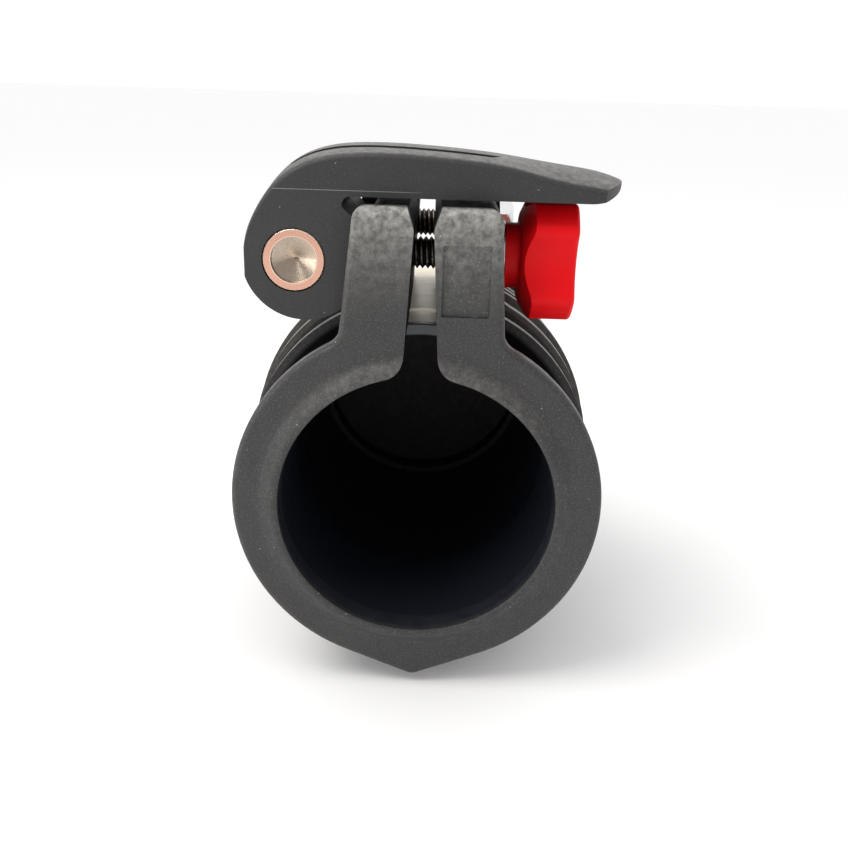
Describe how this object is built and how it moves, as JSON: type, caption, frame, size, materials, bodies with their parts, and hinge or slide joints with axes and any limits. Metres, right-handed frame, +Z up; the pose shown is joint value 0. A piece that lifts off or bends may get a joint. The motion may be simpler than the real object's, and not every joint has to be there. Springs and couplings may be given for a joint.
{
  "type": "pipe clamp",
  "caption": "Lever clamp for a telescopic round pole: ribbed split plastic collar, cam lever on a steel pin, threaded draw stud and red lobed adjusting knob.",
  "frame": {"origin": "on the pole's axis, at the flat front face of the collar's flange", "axes": "-Y out of the front mouth along the pole, +Z up through the ears and the lever, +X towards the adjusting knob"},
  "size_m": [0.0722, 0.0855, 0.1017],
  "materials": {
    "body_nylon": "glass-filled nylon, fine mottled grain",
    "lever_nylon": "satin moulded nylon",
    "turned_steel": "turned stainless",
    "dark_screw_steel": "oiled thread-rolled steel",
    "zinc_steel": "zinc plated",
    "red_plastic": "satin moulded",
    "insert_brass": "turned",
    "ring_nylon": "moulded",
    "pole_metal": "brushed round the tube",
    "bush_plastic": "smooth acetal",
    "plug_rubber": "matt"
  },
  "bodies": {
    "collar": {"clamp_body": "body_nylon", "rear_screw": "dark_screw_steel", "rear_nut": "zinc_steel", "nut_lock_ring": "ring_nylon", "rear_washers": "zinc_steel", "outer_pole_stub": "pole_metal", "guide_bush": "bush_plastic", "stub_plug": "plug_rubber"},
    "stud": {"pivot_pin": "turned_steel", "tension_stud": "dark_screw_steel"},
    "lever": {"cam_lever": "lever_nylon"},
    "washer": {"thrust_washer": "zinc_steel"},
    "knob": {"adjusting_knob": "red_plastic", "knob_insert": "insert_brass"}
  },
  "joints": [
    {"name": "stud_slide", "type": "slide", "parent": "collar", "child": "stud", "axis": [1, 0, 0], "range_m": [0, 0.0015]},
    {"name": "lever_pivot", "type": "hinge", "parent": "stud", "child": "lever", "pos_m": [-0.0226, 0.0176, 0.0439], "axis": [0, -1, 0], "range_deg": [0, 150]},
    {"name": "knob_travel", "type": "slide", "parent": "stud", "child": "washer", "axis": [1, 0, 0], "range_m": [0, 0.003]},
    {"name": "knob_turn", "type": "hinge", "parent": "washer", "child": "knob", "pos_m": [0.02, 0.0176, 0.0439], "axis": [1, 0, 0], "range_deg": [0, 1080]}
  ],
  "couplings": [
    {"joint": "stud_slide", "follows": "lever_pivot", "m_per_rad": 0.00057296},
    {"joint": "knob_travel", "follows": "knob_turn", "m_per_rad": 0.00015915}
  ]
}
